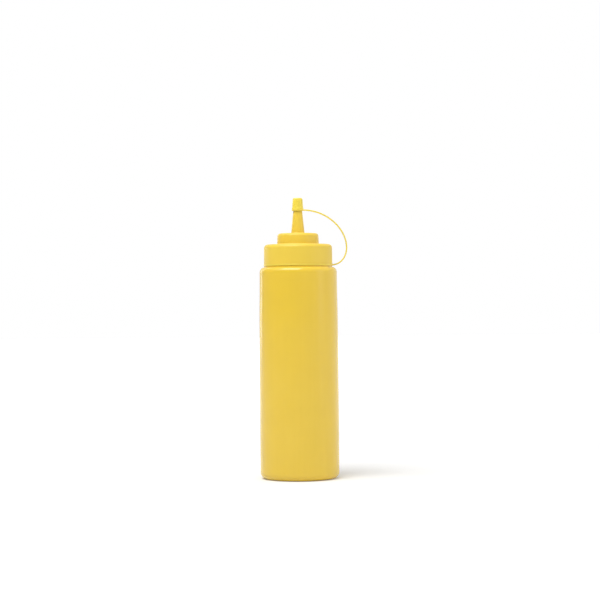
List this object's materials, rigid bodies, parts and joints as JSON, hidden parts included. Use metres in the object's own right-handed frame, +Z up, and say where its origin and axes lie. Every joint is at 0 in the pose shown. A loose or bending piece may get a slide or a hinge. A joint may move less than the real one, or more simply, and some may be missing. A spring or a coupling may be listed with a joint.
{
  "type": "condiment squeeze bottle",
  "caption": "Tall round squeeze bottle for sauce, with a screwed nozzle lid and a tip cap held by a curved strap.",
  "frame": {"origin": "centre of the flat base, on the bottle's axis", "axes": "+Z up along the bottle's axis, from base to nozzle; +X towards the strap; the picture looks along +Y"},
  "size_m": [0.0807, 0.0718, 0.2542],
  "materials": {
    "bottle_plastic": "satin yellow polyethylene, soft and slightly cloudy",
    "lid_plastic": "satin yellow polyethylene, injection moulded, a little smoother than the body",
    "cap_plastic": "satin yellow polyethylene, thin and flexible"
  },
  "bodies": {
    "root": {"bottle": "bottle_plastic", "nozzle_lid": "lid_plastic", "strapped_cap": "cap_plastic"}
  },
  "joints": []
}
